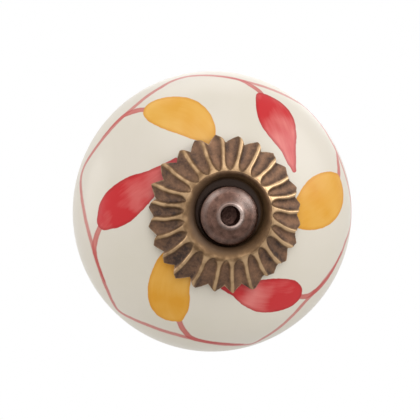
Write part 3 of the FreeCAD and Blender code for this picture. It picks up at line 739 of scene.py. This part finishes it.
def glaze():
    """Glazed ceramic, dipped and fired: a clear gloss over a cream body that clouds softly.
    The ornament was brushed on before the glaze, so it shares its gloss, thins to streaks where
    the brush lifted and gathers a little darker at its edges."""
    made, tree, surface = new_material("painted_glazed_ceramic")
    spot = add(tree, "ShaderNodeTexCoord").outputs["Object"]
    cloud = add(tree, "ShaderNodeTexNoise", {"Vector": spot, "Scale": per_mm(9), "Detail": 2.0})
    mottle = add(tree, "ShaderNodeTexNoise", {"Vector": spot, "Scale": per_mm(1.6), "Detail": 3.0})
    ground = add(tree, "ShaderNodeMix", {0: cloud.outputs["Fac"], 6: colour("#E8DFD3"),
                                        7: colour("#E0D8C6")}, data_type="RGBA")
    amount = add(tree, "ShaderNodeMath", {0: mottle.outputs["Fac"], 1: 0.12}, operation="MULTIPLY")
    ground = add(tree, "ShaderNodeMix", {0: amount.outputs[0], 6: ground.outputs[2],
                                        7: colour("#F0EAE0")}, data_type="RGBA").outputs[2]
    ragged = add(tree, "ShaderNodeTexNoise", {"Vector": spot, "Scale": per_mm(0.9), "Detail": 2.0})
    ragged = add(tree, "ShaderNodeMapRange", {"Value": ragged.outputs["Fac"], "To Min": -0.1,
                                             "To Max": 0.1}).outputs[0]

    # Full, thin and gathered paint, half the width of a line, softness of the edge in mm, cover
    layers = [
        ("festoon", "#C43C3A", "#D98A80", "#C43C3A", 0.36, 0.15, 0.78),
        ("stem", "#C8403C", "#E68C80", "#B8342F", 0.0, 0.1, 0.85),
        ("yellow_leaf", "#E59F1F", "#F3C060", "#DA8F19", 0.0, 0.06, 1.0),
        ("red_leaf", "#CC2025", "#F09890", "#AE161A", 0.0, 0.06, 1.0),
    ]
    relief = None
    for name, full, thin, gathered, half_width, soft_edge, strength in layers:
        mark = add(tree, "ShaderNodeAttribute", attribute_name=name)
        split = add(tree, "ShaderNodeSeparateXYZ", {0: mark.outputs["Vector"]})
        past = split.outputs[0]
        if half_width:
            distance = add(tree, "ShaderNodeMath", {0: past}, operation="ABSOLUTE").outputs[0]
            past = add(tree, "ShaderNodeMath", {0: distance, 1: half_width},
                       operation="SUBTRACT").outputs[0]
        past = add(tree, "ShaderNodeMath", {0: past, 1: ragged}, operation="ADD").outputs[0]
        inside = add(tree, "ShaderNodeMapRange", {"Value": past, "From Min": soft_edge,
                                                 "From Max": -soft_edge},
                     interpolation_type="SMOOTHSTEP").outputs[0]
        # Bristles leave streaks a few tenths of a millimetre wide and many millimetres long
        across = add(tree, "ShaderNodeMath", {0: split.outputs[1], 1: 2.2}, operation="MULTIPLY")
        along = add(tree, "ShaderNodeMath", {0: split.outputs[2], 1: 0.28}, operation="MULTIPLY")
        bristle = add(tree, "ShaderNodeCombineXYZ", {0: across.outputs[0], 1: along.outputs[0]})
        streak = add(tree, "ShaderNodeTexNoise", {"Vector": bristle.outputs[0], "Scale": 1.0,
                                                 "Detail": 3.0, "Roughness": 0.6})
        wash = add(tree, "ShaderNodeTexNoise", {"Vector": spot, "Scale": per_mm(3.5), "Detail": 1.0})
        both = add(tree, "ShaderNodeMix", {0: 0.76, 2: streak.outputs["Fac"],
                                           3: wash.outputs["Fac"]}).outputs[0]
        # Where the brush was full the paint is thick, and the bristles leave it only a little uneven
        paint = add(tree, "ShaderNodeAttribute", attribute_name=name + "_paint").outputs["Fac"]
        uneven = add(tree, "ShaderNodeMapRange", {"Value": both, "From Min": 0.35, "From Max": 0.65,
                                                 "To Min": 0.75, "To Max": 1.25}).outputs[0]
        thinness = add(tree, "ShaderNodeMath", {0: uneven, 1: paint}, operation="SUBTRACT",
                       use_clamp=True).outputs[0]
        body = add(tree, "ShaderNodeMix", {0: thinness, 6: colour(full), 7: colour(thin)},
                   data_type="RGBA").outputs[2]
        rim = add(tree, "ShaderNodeMapRange", {"Value": past, "From Min": -0.5, "From Max": -0.05,
                                              "To Max": 0.7}).outputs[0]
        body = add(tree, "ShaderNodeMix", {0: rim, 6: body, 7: colour(gathered)},
                   data_type="RGBA").outputs[2]
        cover = add(tree, "ShaderNodeMath", {0: inside, 1: strength}, operation="MULTIPLY").outputs[0]
        ground = add(tree, "ShaderNodeMix", {0: cover, 6: ground, 7: body},
                     data_type="RGBA").outputs[2]
        relief = inside if relief is None else add(
            tree, "ShaderNodeMath", {0: relief, 1: inside}, operation="MAXIMUM").outputs[0]
    tree.links.new(ground, surface.inputs["Base Color"])

    # Orange peel of the fired glaze, and the slight step of the paint under it
    peel = add(tree, "ShaderNodeTexNoise", {"Vector": spot, "Scale": per_mm(2.4), "Detail": 1.0})
    soft = add(tree, "ShaderNodeBump", {"Height": peel.outputs["Fac"], "Strength": 0.25,
                                       "Distance": 0.03 * MM})
    step = add(tree, "ShaderNodeBump", {"Height": relief, "Strength": 0.3, "Distance": 0.02 * MM,
                                       "Normal": soft.outputs[0]})
    tree.links.new(step.outputs[0], surface.inputs["Normal"])
    surface.inputs["Roughness"].default_value = 0.3
    surface.inputs["IOR"].default_value = 1.45
    return made


def antique_brass():
    """Brass, struck and then darkened in a patina bath: granular brown in the channels, olive on
    the crest, and rubbed back to bright metal on the ribs and the rim. Painted highlights brighten
    the ribs, the crest's lower side and the channel floors towards the upper right, and painted
    shade darkens the top of the crest and the cup."""
    made, tree, surface = new_material("antique_brass")
    spot = add(tree, "ShaderNodeTexCoord").outputs["Object"]
    grain = add(tree, "ShaderNodeTexNoise", {"Vector": spot, "Scale": per_mm(0.4), "Detail": 4.0,
                                            "Roughness": 0.65})
    blotch = add(tree, "ShaderNodeTexNoise", {"Vector": spot, "Scale": per_mm(1.3), "Detail": 3.0})
    cast = add(tree, "ShaderNodeTexNoise", {"Vector": spot, "Scale": per_mm(4.5), "Detail": 1.0})
    wear_and_sheen = add(tree, "ShaderNodeAttribute", attribute_name="wear_and_sheen").outputs["Fac"]
    channel = add(tree, "ShaderNodeAttribute", attribute_name="channel").outputs["Fac"]
    painted_shade = add(tree, "ShaderNodeAttribute", attribute_name="painted_shade").outputs["Fac"]

    # The bath bites deeper in some channels than in others, and leaves them more or less dark
    bitten = add(tree, "ShaderNodeMath", {0: grain.outputs["Fac"], 1: cast.outputs["Fac"]},
                 operation="ADD")
    bitten = add(tree, "ShaderNodeMath", {0: bitten.outputs[0], 1: blotch.outputs["Fac"]},
                 operation="ADD")
    bitten = add(tree, "ShaderNodeMapRange", {"Value": bitten.outputs[0], "From Min": 1.15,
                                             "From Max": 1.85, "To Max": 0.75}).outputs[0]
    # Channel floors towards the upper right are painted lighter, as painted light
    lighter = add(tree, "ShaderNodeAttribute", attribute_name="lit_channel_floor").outputs["Fac"]
    lighter = add(tree, "ShaderNodeMath", {0: lighter, 1: 0.5}, operation="MULTIPLY").outputs[0]
    bitten = add(tree, "ShaderNodeMath", {0: bitten, 1: lighter}, operation="ADD",
                 use_clamp=True).outputs[0]
    dark = add(tree, "ShaderNodeMix", {0: bitten, 6: colour("#2B180E"), 7: colour("#8C664A")},
               data_type="RGBA").outputs[2]
    olive = add(tree, "ShaderNodeMix", {0: blotch.outputs["Fac"], 6: colour("#5A412A"),
                                       7: colour("#927049")}, data_type="RGBA").outputs[2]
    patina = add(tree, "ShaderNodeMix", {0: channel, 6: olive, 7: dark}, data_type="RGBA").outputs[2]
    # Painted shade darkens the cup
    patina = add(tree, "ShaderNodeMix", {0: painted_shade, 6: patina, 7: colour("#3A271B")},
                 data_type="RGBA").outputs[2]
    uneven = add(tree, "ShaderNodeMapRange", {"Value": blotch.outputs["Fac"], "From Min": 0.25,
                                             "From Max": 0.75, "To Min": -0.3, "To Max": 0.3})
    # Worn metal and painted highlights show bright brass
    brightening = add(tree, "ShaderNodeMath", {0: wear_and_sheen, 1: uneven.outputs[0]}, operation="ADD")
    brightening = add(tree, "ShaderNodeMapRange", {"Value": brightening.outputs[0], "From Min": 0.2,
                                             "From Max": 1.0},
                 interpolation_type="SMOOTHSTEP").outputs[0]
    bright = add(tree, "ShaderNodeMix", {0: brightening, 6: patina, 7: colour("#BC9C78")},
                 data_type="RGBA").outputs[2]
    tree.links.new(bright, surface.inputs["Base Color"])
    bathed = add(tree, "ShaderNodeMath", {0: channel, 1: painted_shade}, operation="MAXIMUM")
    oxide = add(tree, "ShaderNodeMapRange", {"Value": bathed.outputs[0], "To Min": 0.6, "To Max": 0.3})
    metal = add(tree, "ShaderNodeMapRange", {"Value": brightening, 3: oxide.outputs[0], "To Max": 1.0})
    tree.links.new(metal.outputs[0], surface.inputs["Metallic"])
    dull = add(tree, "ShaderNodeMapRange", {"Value": brightening, "To Min": 0.55, "To Max": 0.3})
    tree.links.new(dull.outputs[0], surface.inputs["Roughness"])
    pitted = add(tree, "ShaderNodeMapRange", {"Value": channel, "To Min": 0.12, "To Max": 0.7})
    rough = add(tree, "ShaderNodeBump", {"Height": grain.outputs["Fac"],
                                        "Strength": pitted.outputs[0], "Distance": 0.05 * MM})
    tree.links.new(rough.outputs[0], surface.inputs["Normal"])
    return made


def turned_steel():
    """Steel turned in a lathe and darkened: fine concentric tool marks, brown-violet tint, a lip
    worn a little bright, painted highlights on the head and painted shade in its hole."""
    made, tree, surface = new_material("gunmetal_steel")
    spot = add(tree, "ShaderNodeTexCoord").outputs["Object"]
    split = add(tree, "ShaderNodeSeparateXYZ", {0: spot})
    flat = add(tree, "ShaderNodeCombineXYZ", {0: split.outputs[0], 2: split.outputs[2]})
    reach = add(tree, "ShaderNodeVectorMath", {0: flat.outputs[0]}, operation="LENGTH")
    # Tool marks are about 0.05 mm apart, and drawn three times as coarse so that they show
    ring = add(tree, "ShaderNodeCombineXYZ", {0: reach.outputs["Value"]})
    marks = add(tree, "ShaderNodeTexNoise", {"Vector": ring.outputs[0], "Scale": per_mm(0.15),
                                            "Detail": 2.0})
    blotch = add(tree, "ShaderNodeTexNoise", {"Vector": spot, "Scale": per_mm(0.9), "Detail": 3.0})
    speck = add(tree, "ShaderNodeTexNoise", {"Vector": spot, "Scale": per_mm(0.3), "Detail": 3.0})
    patch = add(tree, "ShaderNodeMapRange", {"Value": blotch.outputs["Fac"], "From Min": 0.3,
                                            "From Max": 0.7}).outputs[0]
    tint = add(tree, "ShaderNodeMix", {0: patch, 6: colour("#33211A"), 7: colour("#6E5146")},
               data_type="RGBA").outputs[2]
    share = add(tree, "ShaderNodeMath", {0: marks.outputs["Fac"], 1: 0.25}, operation="MULTIPLY")
    tint = add(tree, "ShaderNodeMix", {0: share.outputs[0], 6: tint, 7: colour("#957B70")},
               data_type="RGBA").outputs[2]
    # Worn metal and painted highlights on the head show pale
    wear_and_sheen = add(tree, "ShaderNodeAttribute", attribute_name="wear_and_sheen").outputs["Fac"]
    flecked = add(tree, "ShaderNodeMapRange", {"Value": speck.outputs["Fac"], "From Min": 0.3,
                                              "From Max": 0.7, "To Min": 0.55, "To Max": 1.1})
    wear_and_sheen = add(tree, "ShaderNodeMath", {0: wear_and_sheen, 1: flecked.outputs[0]}, operation="MULTIPLY",
               use_clamp=True).outputs[0]
    tint = add(tree, "ShaderNodeMix", {0: wear_and_sheen, 6: tint, 7: colour("#E3D0C7")},
               data_type="RGBA").outputs[2]
    # Painted shade darkens the inside of the hole and the top of the dome
    painted_shade = add(tree, "ShaderNodeAttribute", attribute_name="painted_shade").outputs["Fac"]
    tint = add(tree, "ShaderNodeMix", {0: painted_shade, 6: tint, 7: colour("#402318")},
               data_type="RGBA").outputs[2]
    # The shank was left undarkened
    shank = add(tree, "ShaderNodeAttribute", attribute_name="shank").outputs["Fac"]
    plain_steel = add(tree, "ShaderNodeMix", {0: patch, 6: colour("#77736F"), 7: colour("#98938D")},
                      data_type="RGBA").outputs[2]
    tint = add(tree, "ShaderNodeMix", {0: shank, 6: tint, 7: plain_steel}, data_type="RGBA").outputs[2]
    tree.links.new(tint, surface.inputs["Base Color"])
    metal = add(tree, "ShaderNodeMapRange", {"Value": painted_shade, "To Min": 1.0, "To Max": 0.6})
    tree.links.new(metal.outputs[0], surface.inputs["Metallic"])
    # Rings left by the tool draw each highlight out along the radius
    surface.inputs["Anisotropic"].default_value = 0.75
    round_axis = add(tree, "ShaderNodeTangent", direction_type="RADIAL", axis="Y")
    tree.links.new(round_axis.outputs[0], surface.inputs["Tangent"])
    dull = add(tree, "ShaderNodeMapRange", {"Value": speck.outputs["Fac"], "From Min": 0.3,
                                           "From Max": 0.7, "To Min": 0.22, "To Max": 0.55})
    tree.links.new(dull.outputs[0], surface.inputs["Roughness"])
    groove = add(tree, "ShaderNodeBump", {"Height": marks.outputs["Fac"], "Strength": 0.7,
                                         "Distance": 0.05 * MM})
    tree.links.new(groove.outputs[0], surface.inputs["Normal"])
    return made


def plated_steel():
    """Zinc-plated steel: pale and faintly blue, with the soft clouding of the bath."""
    made, tree, surface = new_material("zinc_plated_steel")
    spot = add(tree, "ShaderNodeTexCoord").outputs["Object"]
    cloud = add(tree, "ShaderNodeTexNoise", {"Vector": spot, "Scale": per_mm(1.8), "Detail": 3.0})
    grit = add(tree, "ShaderNodeTexNoise", {"Vector": spot, "Scale": per_mm(0.25), "Detail": 3.0})
    tint = add(tree, "ShaderNodeMix", {0: cloud.outputs["Fac"], 6: colour("#969BA1"),
                                      7: colour("#B7B6AD")}, data_type="RGBA").outputs[2]
    tree.links.new(tint, surface.inputs["Base Color"])
    surface.inputs["Metallic"].default_value = 1.0
    dull = add(tree, "ShaderNodeMapRange", {"Value": cloud.outputs["Fac"], "To Min": 0.28,
                                           "To Max": 0.46})
    tree.links.new(dull.outputs[0], surface.inputs["Roughness"])
    dents = add(tree, "ShaderNodeBump", {"Height": grit.outputs["Fac"], "Strength": 0.2,
                                        "Distance": 0.02 * MM})
    tree.links.new(dents.outputs[0], surface.inputs["Normal"])
    return made


brass = antique_brass()
zinc = plated_steel()
wear_in(ceramic_body(), glaze(), "glazed_ceramic", "ceramic_body")
wear_in(fluted_rosette(), brass, "antique_brass", "fluted_rosette")
wear_in(rear_ferrule(), brass, "antique_brass", "rear_ferrule")
wear_in(centre_bolt(), turned_steel(), "gunmetal_steel", "centre_bolt")
wear_in(hex_nut("inner_nut", "clamp_nut"), zinc, "plated_steel", "clamp_nut")
wear_in(hex_nut("outer_nut", "panel_nut"), zinc, "plated_steel", "panel_nut")
wear_in(panel_washer(), zinc, "plated_steel", "panel_washer")

# Floor and surroundings: pale, and white to the camera and in reflections
FLOOR_Z = -0.12
bpy.ops.object.select_all(action="DESELECT")
bpy.ops.mesh.primitive_plane_add(size=12, location=(0, 0, FLOOR_Z))
bpy.ops.object.transform_apply(location=True)
floor = bpy.context.object
floor.name = "floor"


def floor_paint():
    """Matt white floor that keeps the knob's shadow."""
    made, tree, surface = new_material("matt_white_floor")
    surface.inputs["Base Color"].default_value = colour("#D6D6D4")
    surface.inputs["Roughness"].default_value = 0.9
    # Near the knob the paint shows its shadow, and further off it is the white of the surroundings
    spot = add(tree, "ShaderNodeTexCoord").outputs["Object"]
    far = add(tree, "ShaderNodeVectorMath", {0: spot}, operation="LENGTH")
    fade = add(tree, "ShaderNodeMapRange", {"Value": far.outputs["Value"], "From Min": 0.25,
                                           "From Max": 0.9, "To Min": 0.55, "To Max": 1.0})
    lift = add(tree, "ShaderNodeMath", {0: shown(tree), 1: fade.outputs[0]}, operation="MULTIPLY")
    white = add(tree, "ShaderNodeEmission", {"Color": (1, 1, 1, 1), "Strength": 1.0})
    mixed = add(tree, "ShaderNodeMixShader", {0: lift.outputs[0], 1: surface.outputs[0],
                                             2: white.outputs[0]})
    out = tree.nodes["Material Output"]
    tree.links.new(mixed.outputs[0], out.inputs["Surface"])
    return made


floor.data.materials.append(floor_paint())

world = bpy.data.worlds.new("studio")
bpy.context.scene.world = world
world.use_nodes = True
sky = world.node_tree
strength = add(sky, "ShaderNodeMapRange", {"Value": shown(sky), "To Min": 0.35, "To Max": 1.0})
sky.nodes["Background"].inputs["Color"].default_value = (1, 1, 1, 1)
sky.links.new(strength.outputs[0], sky.nodes["Background"].inputs["Strength"])


def softbox(name, place, size, watts):
    """A square studio softbox that faces the knob."""
    data = bpy.data.lights.new(name, "AREA")
    data.shape = "SQUARE"
    data.size = size
    data.energy = watts
    lamp = bpy.data.objects.new(name, data)
    bpy.context.scene.collection.objects.link(lamp)
    lamp.location = place
    toward = Vector((0, EQUATOR_Y * MM, 0)) - Vector(place)
    lamp.rotation_euler = toward.to_track_quat("-Z", "Y").to_euler()


softbox("front_softbox", (-0.05, -0.85, 0.6), 0.9, 4.1)
softbox("key_softbox", (0.8, -0.45, 0.4), 0.6, 3.2)
softbox("top_softbox", (0.0, 0.25, 1.0), 0.8, 2.5)
softbox("left_softbox", (-1.0, 0.1, 0.1), 0.8, 4.1)
softbox("back_softbox", (0.4, 1.0, 0.6), 1.0, 1.8)

# Camera: nearly square on, a little to the left and above, as the knob was photographed
VIEW_TURN = math.radians(-9.9)
VIEW_RISE = math.radians(2.4)
VIEW_DISTANCE = 0.8
FRAME_PIXELS = 420
PIXELS_PER_MM = 7.035
# The ball's middle lies this far right of the frame's middle, and this far below it, in pixels
RIGHT_OF_MIDDLE = 2.35
BELOW_MIDDLE = 1.5
outward = Vector((math.sin(VIEW_TURN) * math.cos(VIEW_RISE),
                  -math.cos(VIEW_TURN) * math.cos(VIEW_RISE), math.sin(VIEW_RISE)))
right = Vector((math.cos(VIEW_TURN), math.sin(VIEW_TURN), 0))
up = right.cross(-outward)
metres_per_pixel = MM / PIXELS_PER_MM
aim = Vector((0, EQUATOR_Y * MM, 0))
aim += (up * BELOW_MIDDLE - right * RIGHT_OF_MIDDLE) * metres_per_pixel
camera_data = bpy.data.cameras.new("camera")
camera_data.sensor_width = 36
camera_data.lens = PIXELS_PER_MM * VIEW_DISTANCE / MM * camera_data.sensor_width / FRAME_PIXELS
camera = bpy.data.objects.new("camera", camera_data)
bpy.context.scene.collection.objects.link(camera)
camera.location = aim + outward * VIEW_DISTANCE
camera.rotation_euler = (-outward).to_track_quat("-Z", "Y").to_euler()
bpy.context.scene.camera = camera
bpy.context.scene.view_settings.view_transform = "Standard"
